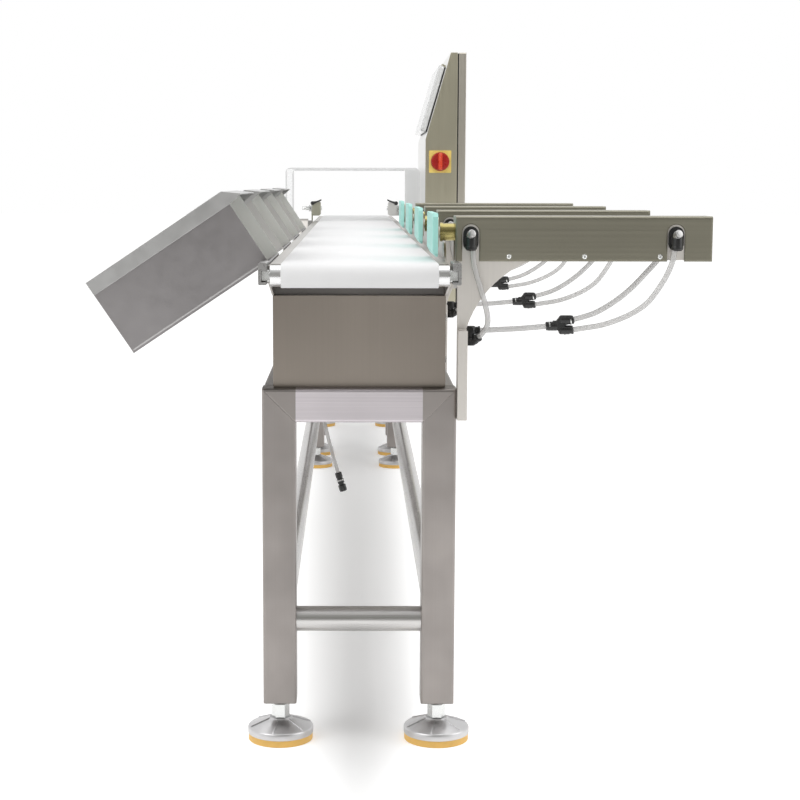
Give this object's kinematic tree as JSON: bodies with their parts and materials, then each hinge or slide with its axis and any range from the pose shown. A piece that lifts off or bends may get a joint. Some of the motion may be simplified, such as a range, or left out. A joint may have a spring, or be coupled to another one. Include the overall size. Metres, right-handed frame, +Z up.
{
  "type": "belt checkweigher with pusher sorter",
  "caption": "Floor-standing stainless belt checkweigher: infeed and weighing belts under a clear draft shield, then a long sorting belt with air pushers facing enclosed side chutes.",
  "frame": {"origin": "middle of the whole machine's outline, on the floor", "axes": "+X to the pushers' side, +Y along the belts towards the infeed, +Z up"},
  "size_m": [0.9084, 3.514, 1.219],
  "materials": {
    "stainless_frame": "brushed",
    "stainless_sheet": "brushed",
    "polished_steel": "polished",
    "aluminium": "satin",
    "belt_white": "smooth",
    "pad_teal": "matte",
    "brass": "machined",
    "fitting_black": "moulded",
    "hose_clear": "clear, greyish",
    "rubber_black": "matt",
    "ring_orange": "matt",
    "foot_grey": "moulded",
    "motor_black": "painted",
    "clear_sheet": "clear, slightly frosted",
    "screen_dark": "glossy",
    "switch_yellow": "moulded",
    "switch_red": "moulded",
    "zinc_black": "powder coated"
  },
  "bodies": {
    "machine": {"frame_legs": "stainless_frame", "cross_rails": "stainless_frame", "side_rails": "stainless_frame", "stretchers": "stainless_frame", "foot_studs": "stainless_frame", "foot_pads": "foot_grey", "foot_rings": "ring_orange", "body_shell": "stainless_sheet", "body_end_covers": "stainless_sheet", "side_plates": "stainless_sheet", "nose_arms": "aluminium", "slider_beds": "stainless_sheet", "roller_shafts": "polished_steel", "roller_bearings": "polished_steel", "conveyor_belts": "belt_white", "valve_block": "aluminium", "machine_screws": "polished_steel", "drive_motor": "motor_black", "timing_belt": "rubber_black", "drive_guard": "stainless_sheet", "pusher_covers": "stainless_sheet", "pusher_cylinders": "aluminium", "rod_bushes": "brass", "gusset_plates": "stainless_sheet", "port_elbows": "fitting_black", "hose_connectors": "fitting_black", "front_hoses": "hose_clear", "rear_hoses": "hose_clear", "branch_hoses": "hose_clear", "trunk_hoses": "hose_clear", "supply_hose": "hose_clear", "chute_ducts": "stainless_sheet", "chute_hoods": "stainless_sheet", "load_cell": "aluminium", "weigh_pedestals": "stainless_sheet", "draft_shield": "clear_sheet", "clamp_blocks": "aluminium", "photo_eyes": "polished_steel", "cabinet_shell": "stainless_sheet", "cabinet_brackets": "stainless_frame", "cabinet_gaskets": "rubber_black", "hmi_screen": "screen_dark", "switch_plate": "switch_yellow", "mounting_panel": "fitting_black"},
    "pusher_1": {"pusher_1": "pad_teal"},
    "pusher_2": {"pusher_2": "pad_teal"},
    "pusher_3": {"pusher_3": "pad_teal"},
    "pusher_4": {"pusher_4": "pad_teal"},
    "head_roller": {"head_roller": "aluminium"},
    "tail_roller": {"tail_roller": "aluminium"},
    "motor_pulley": {"motor_pulley": "aluminium"},
    "weigh_roller_front": {"weigh_roller_front": "aluminium"},
    "weigh_roller_rear": {"weigh_roller_rear": "aluminium"},
    "infeed_roller_front": {"infeed_roller_front": "aluminium"},
    "infeed_roller_rear": {"infeed_roller_rear": "aluminium"},
    "cabinet_door": {"cabinet_door": "stainless_sheet"},
    "screen_cover": {"screen_cover": "clear_sheet"},
    "switch_knob": {"switch_knob": "switch_red"},
    "clamp_lever_left": {"clamp_lever_left": "zinc_black"},
    "clamp_lever_right": {"clamp_lever_right": "zinc_black"}
  },
  "joints": [
    {"name": "pusher_1_slide", "type": "slide", "parent": "machine", "child": "pusher_1", "axis": [-1, 0, 0], "range_m": [0, 0.2]},
    {"name": "pusher_2_slide", "type": "slide", "parent": "machine", "child": "pusher_2", "axis": [-1, 0, 0], "range_m": [0, 0.2]},
    {"name": "pusher_3_slide", "type": "slide", "parent": "machine", "child": "pusher_3", "axis": [-1, 0, 0], "range_m": [0, 0.2]},
    {"name": "pusher_4_slide", "type": "slide", "parent": "machine", "child": "pusher_4", "axis": [-1, 0, 0], "range_m": [0, 0.2]},
    {"name": "tail_spin", "type": "hinge", "parent": "machine", "child": "tail_roller", "pos_m": [-0.06276, 0.864, 0.714], "axis": [1, 0, 0], "continuous": true},
    {"name": "head_spin", "type": "hinge", "parent": "machine", "child": "head_roller", "pos_m": [-0.06276, -1.739, 0.714], "axis": [1, 0, 0], "continuous": true},
    {"name": "motor_spin", "type": "hinge", "parent": "machine", "child": "motor_pulley", "pos_m": [-0.06276, 0.788, 0.612], "axis": [1, 0, 0], "continuous": true},
    {"name": "weigh_rear_spin", "type": "hinge", "parent": "machine", "child": "weigh_roller_rear", "pos_m": [-0.06276, 1.302, 0.714], "axis": [1, 0, 0], "continuous": true},
    {"name": "weigh_front_spin", "type": "hinge", "parent": "machine", "child": "weigh_roller_front", "pos_m": [-0.06276, 0.902, 0.714], "axis": [1, 0, 0], "continuous": true},
    {"name": "infeed_rear_spin", "type": "hinge", "parent": "machine", "child": "infeed_roller_rear", "pos_m": [-0.06276, 1.74, 0.714], "axis": [1, 0, 0], "continuous": true},
    {"name": "infeed_front_spin", "type": "hinge", "parent": "machine", "child": "infeed_roller_front", "pos_m": [-0.06276, 1.34, 0.714], "axis": [1, 0, 0], "continuous": true},
    {"name": "door_hinge", "type": "hinge", "parent": "machine", "child": "cabinet_door", "pos_m": [0.24674, 1.389, 0.8445], "axis": [0, 0, 1], "range_deg": [0, 110]},
    {"name": "screen_cover_hinge", "type": "hinge", "parent": "machine", "child": "screen_cover", "pos_m": [0.19505, 1.11, 1.19014], "axis": [0, 1, 0], "range_deg": [0, 90]},
    {"name": "switch_turn", "type": "hinge", "parent": "machine", "child": "switch_knob", "pos_m": [0.18324, 0.8367, 0.905], "axis": [0, -1, 0], "range_deg": [-90, 0]},
    {"name": "clamp_lever_left_turn", "type": "hinge", "parent": "machine", "child": "clamp_lever_left", "pos_m": [-0.19176, 0.8907, 0.783], "axis": [0, -1, 0], "range_deg": [-30, 60]},
    {"name": "clamp_lever_right_turn", "type": "hinge", "parent": "machine", "child": "clamp_lever_right", "pos_m": [0.05624, 0.8907, 0.783], "axis": [0, -1, 0], "range_deg": [-60, 30]}
  ],
  "couplings": [
    {"joint": "head_spin", "follows": "tail_spin", "ratio": 1},
    {"joint": "motor_spin", "follows": "tail_spin", "ratio": 0.8},
    {"joint": "weigh_front_spin", "follows": "weigh_rear_spin", "ratio": 1},
    {"joint": "infeed_front_spin", "follows": "infeed_rear_spin", "ratio": 1}
  ]
}
